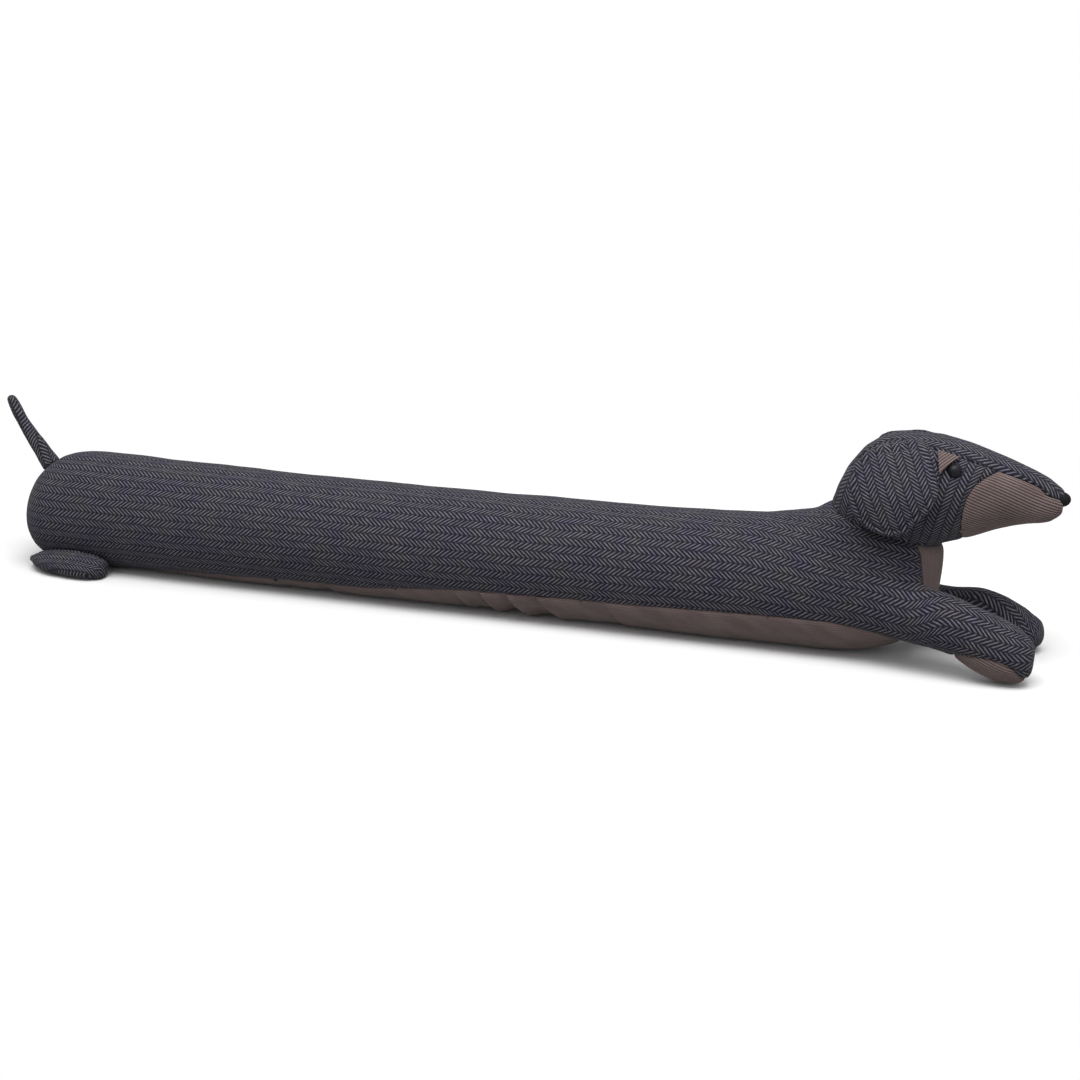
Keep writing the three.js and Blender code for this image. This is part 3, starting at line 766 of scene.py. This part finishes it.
def black(name, roughness, shine):
    shell = Finish(name)
    place = shell.node("TexCoord", {}, {}, "Object")
    grain = shell.noise(place, GRAIN["black"], 3.0)
    tone = shell.mix(grain, *BLACK)
    relief = shell.relief("black", grain)
    shell.show(Base_Color=tone, Roughness=grain * 0.2 + roughness, Normal=relief, Specular_IOR_Level=shine)
    return shell.material


# Camera, light and floor

def facing(obj, target):
    obj.rotation_euler = (target - obj.location).to_track_quat("-Z", "Y").to_euler()


def place_camera():
    turn = math.radians(CAMERA["azimuth"])
    rise = math.radians(CAMERA["elevation"])
    back = Vector((math.sin(turn) * math.cos(rise), -math.cos(turn) * math.cos(rise), math.sin(rise)))
    lens = bpy.data.cameras.new("camera")
    lens.lens = LENS["focal"]
    lens.sensor_width = LENS["sensor"]
    camera = bpy.data.objects.new("camera", lens)
    scene.collection.objects.link(camera)
    target = Vector(CAMERA["target"]) * MM
    camera.location = target + back * CAMERA["distance"] * MM
    facing(camera, target)
    scene.camera = camera


def softbox(name, place, size, watts):
    light = bpy.data.lights.new(name, "AREA")
    light.shape = "RECTANGLE"
    light.size, light.size_y = size
    light.energy = watts
    lamp = bpy.data.objects.new(name, light)
    scene.collection.objects.link(lamp)
    lamp.location = place
    facing(lamp, Vector(LAMP_TARGET))


def backdrop():
    """White to the camera; to everything else a room that is brighter overhead and at the front."""
    world = bpy.data.worlds.new("studio")
    scene.world = world
    world.use_nodes = True
    tree = world.node_tree
    sky = tree.nodes["Background"]
    sky.inputs["Color"].default_value = (1, 1, 1, 1)
    way = tree.nodes.new("ShaderNodeTexCoord")
    lean = tree.nodes.new("ShaderNodeVectorMath")
    lean.operation = "DOT_PRODUCT"
    lean.inputs[1].default_value = ROOM["side"]
    room = tree.nodes.new("ShaderNodeMapRange")
    room.inputs["From Min"].default_value = ROOM["from"]
    room.inputs["To Min"].default_value = ROOM["dim"]
    room.inputs["To Max"].default_value = ROOM["bright"]
    path = tree.nodes.new("ShaderNodeLightPath")
    seen = tree.nodes.new("ShaderNodeMath")
    seen.operation = "MAXIMUM"
    tree.links.new(way.outputs["Generated"], lean.inputs[0])
    tree.links.new(lean.outputs["Value"], room.inputs["Value"])
    tree.links.new(room.outputs["Result"], seen.inputs[0])
    tree.links.new(path.outputs["Is Camera Ray"], seen.inputs[1])
    tree.links.new(seen.outputs["Value"], sky.inputs["Strength"])


def grey_of(level):
    return level, level, level, 1


def paper():
    """Pale paper that takes shadows, runs out into white, and can be looked through from below."""
    sheet = Finish("floor")
    place = sheet.node("TexCoord", {}, {}, "Object")
    place = sheet.node("Mapping", {}, {"Vector": place, "Scale": (1 / PAPER["stretch"], 1, 1)})
    away = sheet.node("VectorMath", {"operation": "LENGTH"}, [place], "Value")
    near = sheet.node("BsdfDiffuse", {}, {"Color": grey_of(PAPER["pale"])})
    far = sheet.node("Emission", {}, {"Color": (1, 1, 1, 1)})
    share = ramp(away, PAPER["edge"], PAPER["white"])
    pale = sheet.node("MixShader", {}, [share, near, far])
    grey = sheet.node("BsdfDiffuse", {}, {"Color": grey_of(PAPER["grey"])})
    seen = sheet.node("LightPath", {}, {}, "Is Camera Ray")
    above = sheet.node("MixShader", {}, [seen, grey, pale])
    clear = sheet.node("BsdfTransparent", {}, {})
    below = sheet.node("NewGeometry", {}, {}, "Backfacing")
    surface = sheet.node("MixShader", {}, [below, above, clear])
    sheet.node("OutputMaterial", {}, {"Surface": surface})
    return sheet.material


def studio():
    scene.view_settings.view_transform = "Standard"
    backdrop()
    for name, lamp in LAMPS.items():
        softbox(name, lamp["place"], lamp["size"], lamp["watts"])
    form = bmesh.new()
    bmesh.ops.create_grid(form, x_segments=1, y_segments=1, size=PAPER["size"])
    floor = object_of("floor", form)
    floor.data.materials.append(paper())


# Pieces

def finish_piece(piece, material, slot, *nodes):
    for vert in piece.data.vertices:
        vert.co.z = max(vert.co.z, REST)
    piece.data.materials.clear()
    piece.data.materials.append(material)
    for face in piece.data.polygons:
        face.use_smooth = True
    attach(piece, "root")
    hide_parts(*nodes)


def puff(piece):
    """Lets the filling push the panel out a little between its seams, as pressed cloth."""
    pins = piece.vertex_groups.new(name="seam")
    form = bmesh.new()
    form.from_mesh(piece.data)
    distance = seam_distance(form)
    for index, vert in enumerate(form.verts):
        hold = 1 - min(distance(vert.co) / (FILLING["pin"] * MM), 1)
        pins.add([index], hold, "REPLACE")
    form.free()
    start = [vert.co.copy() for vert in piece.data.vertices]
    cloth = piece.modifiers.new("filling", "CLOTH")
    settings = cloth.settings
    settings.quality = FILLING["quality"]
    settings.mass = FILLING["mass"]
    settings.tension_stiffness = FILLING["stiffness"]
    settings.compression_stiffness = FILLING["stiffness"]
    settings.bending_stiffness = FILLING["bending"]
    settings.use_pressure = True
    settings.uniform_pressure_force = FILLING["pressure"]
    settings.effector_weights.gravity = 0
    settings.vertex_group_mass = pins.name
    cloth.point_cache.frame_start = 1
    cloth.point_cache.frame_end = FILLING["frames"]
    for number in range(1, FILLING["frames"] + 1):
        scene.frame_set(number)
    bake(piece)
    for vert, before in zip(piece.data.vertices, start):
        move = vert.co - before
        if move.length > FILLING["cap"] * MM:
            vert.co = before + move.normalized() * FILLING["cap"] * MM
    piece.vertex_groups.clear()
    scene.frame_set(1)


def divide(piece):
    """Splits the piece's faces finely enough to hold the ribs, and raises them."""
    finer = piece.modifiers.new("finer", "SUBSURF")
    finer.levels = RIB_DIVISIONS
    finer.render_levels = RIB_DIVISIONS
    bake(piece)
    form = bmesh.new()
    form.from_mesh(piece.data)
    raise_ribs(form)
    form.to_mesh(piece.data)
    form.free()


def whole_skin():
    """One skin over all the panels, with each face marked as part of its panel."""
    trees = {name: BVHTree.FromBMesh(solids(name)) for name in PANELS}
    skin = remeshed(solids(*PANELS), SKIN["voxel"], SKIN["passes"])
    refill(skin, trees)
    cut_along_seams(skin, trees)
    ease_seams(skin)
    mend_folds(skin)
    push(skin)
    lump(skin)
    out = skin.verts.layers.float_vector.new("out")
    for vert in skin.verts:
        vert[out] = vert.normal
    return skin


def sewn_panel(name, form, material):
    """One panel of the skin as cloth, turned in at its seams and pushed out by the filling."""
    if name not in RIBBED:
        refine(name, form)
    if name == "belly_gusset":
        form.normal_update()
        crease(form)
    lay_cloth(form, lay_of(name))
    turn_in(name, form)
    piece = object_of(name + "_cloth", form)
    puff(piece)
    if name in RIBBED:
        divide(piece)
    wall = piece.modifiers.new("cloth", "SOLIDIFY")
    wall.thickness = CLOTH_THICKNESS * MM
    wall.offset = -1
    finish_piece(piece, material, PANELS[name], name)


def sewn_skin(cloths, special):
    """All the panels, in their own cloth or in a special one."""
    skin = whole_skin()
    for index, (name, cloth) in enumerate(PANELS.items()):
        sewn_panel(name, panel_of(skin, index), special.get(name, cloths[cloth]))
    skin.free()


def polar(point):
    across = point.x / MM - EAR["x"]
    up = point.z / MM - EAR["z"]
    return math.atan2(up, across) / (2 * math.pi) % 1, math.hypot(across, up)


def rim_distance(form):
    """A lookup of how far inside the ear's outline a point is, in side view."""
    slices = EAR["slices"]
    reach = [0] * slices
    for vert in form.verts:
        turn, gap = polar(vert.co)
        index = int(turn * slices) % slices
        reach[index] = max(reach[index], gap)

    def distance(point):
        turn, gap = polar(point)
        low = math.floor(turn * slices - 0.5)
        share = turn * slices - 0.5 - low
        return reach[low % slices] * (1 - share) + reach[(low + 1) % slices] * share - gap

    return distance


def ear(name, material):
    """Two layers turned right side out: the seam allowance makes a welt inside the rim."""
    form = remeshed(solids(name), EAR["voxel"], EAR["passes"])
    lay_cloth(form, ear_cloth)
    distance = rim_distance(form)
    for vert in form.verts:
        inside = distance(vert.co)
        ridge = EAR_WELT["ridge_height"] * bell(inside - EAR_WELT["ridge"], EAR_WELT["ridge_width"])
        groove = EAR_WELT["groove_depth"] * bell(inside - EAR_WELT["groove"], EAR_WELT["groove_width"])
        ripple = rippled(vert.co, EAR["ripple"])
        vert.co += vert.normal * (ridge - groove + ripple) * MM
        hang = smoothstep(EAR["held"], EAR["loose"], vert.co.z / MM)
        back = smoothstep(EAR["front"], EAR["rear"], vert.co.x / MM)
        lift = EAR["lift"] * (EAR["least"] + (1 - EAR["least"]) * back)
        vert.co.y += side_of(vert.co) * lift * hang * MM
    piece = object_of(name + "_flap", form)
    finish_piece(piece, material, "tweed", name)


def eyelid(name, material):
    form = remeshed(solids(name), EYELID["voxel"], EYELID["passes"])
    lay_cloth(form, eyelid_cloth)
    raise_ribs(form)
    for vert in form.verts:
        away = Vector((0, side_of(vert.co) * EYELID["out"], EYELID["up"]))
        vert.co += away * EYELID["lift"] * MM
    piece = object_of(name + "_flap", form)
    finish_piece(piece, material, "corduroy", name)


def hind_paw(name, material):
    """A filled pad with a seam round its side."""
    form = remeshed(solids(name), PAW["voxel"], PAW["passes"])
    lay_cloth(form, paw_cloth)
    for vert in form.verts:
        seam = bell(vert.co.z / MM - PAW["seam"], PAW["width"]) * (1 - abs(vert.normal.z))
        ripple = rippled(vert.co, PAW["ripple"])
        vert.co += vert.normal * (ripple - PAW["groove"] * seam) * MM
        vert.co.x -= PAW["stretch"] * max(PAW["heel"] * MM - vert.co.x, 0)
    piece = object_of(name + "_pad", form)
    finish_piece(piece, material, "tweed", name)


def tail(material):
    form = remeshed(solids("tail"), TAIL["voxel"], TAIL["passes"])
    lay_cloth(form, tail_cloth)
    for vert in form.verts:
        ripple = rippled(vert.co, TAIL["ripple"])
        along, _ = tail_cloth(vert.co / MM, None)
        knob = TAIL["swell"] * bell(along / CLOSE - TAIL["knob"], TAIL["length"])
        vert.co += vert.normal * (ripple + knob) * MM
    piece = object_of("tail_roll", form)
    finish_piece(piece, material, "tweed", "tail")


def dome(centre, size, facing_out, cut, segments):
    """The front of a ball, cut off behind by a plane and closed."""
    form = bmesh.new()
    bmesh.ops.create_uvsphere(form, u_segments=segments, v_segments=segments // 2, radius=1)
    matrix = Matrix.Translation(centre * MM) @ Matrix.Diagonal((*(size * MM), 1))
    bmesh.ops.transform(form, matrix=matrix, verts=form.verts)
    geometry = form.verts[:] + form.edges[:] + form.faces[:]
    behind = bmesh.ops.bisect_plane(form, geom=geometry, plane_co=cut * MM, plane_no=facing_out,
                                    clear_inner=True)
    rim = [item for item in behind["geom_cut"] if isinstance(item, bmesh.types.BMEdge)]
    bmesh.ops.holes_fill(form, edges=rim)
    bmesh.ops.recalc_face_normals(form, faces=form.faces[:])
    return form


def eye(name, side, material):
    centre = Vector((EYE["x"], side * EYE["y"], EYE["z"]))
    ahead, out, up = EYE["out"]
    outward = Vector((ahead, side * out, up)).normalized()
    radius = EYE["radius"]
    form = dome(centre, Vector((radius, radius, radius)), outward, centre, EYE["segments"])
    piece = object_of(name + "_button", form)
    finish_piece(piece, material, "eye", name)


def nose(material):
    centre = Vector((NOSE["x"], 0, NOSE["z"]))
    size = Vector((NOSE["length"], NOSE["half"], NOSE["high"]))
    form = dome(centre, size, Vector((1, 0, 0)), Vector((NOSE["back"], 0, 0)), NOSE["segments"])
    piece = object_of("nose_tip", form)
    finish_piece(piece, material, "nose", "nose")


place_camera()
studio()
cloths = {"tweed": tweed(), "corduroy": corduroy("corduroy", contrast=1.0)}
worn = corduroy("corduroy_worn", contrast=0.3)
sewn_skin(cloths, {"belly_gusset": worn})
eye_black = black("eye", roughness=0.3, shine=0.22)
for side_name, side in SIDES.items():
    ear("ear_" + side_name, cloths["tweed"])
    eyelid("eyelid_" + side_name, cloths["corduroy"])
    hind_paw("hind_paw_" + side_name, cloths["tweed"])
    eye("eye_" + side_name, side, eye_black)
tail(cloths["tweed"])
nose(black("nose", roughness=0.55, shine=0.12))
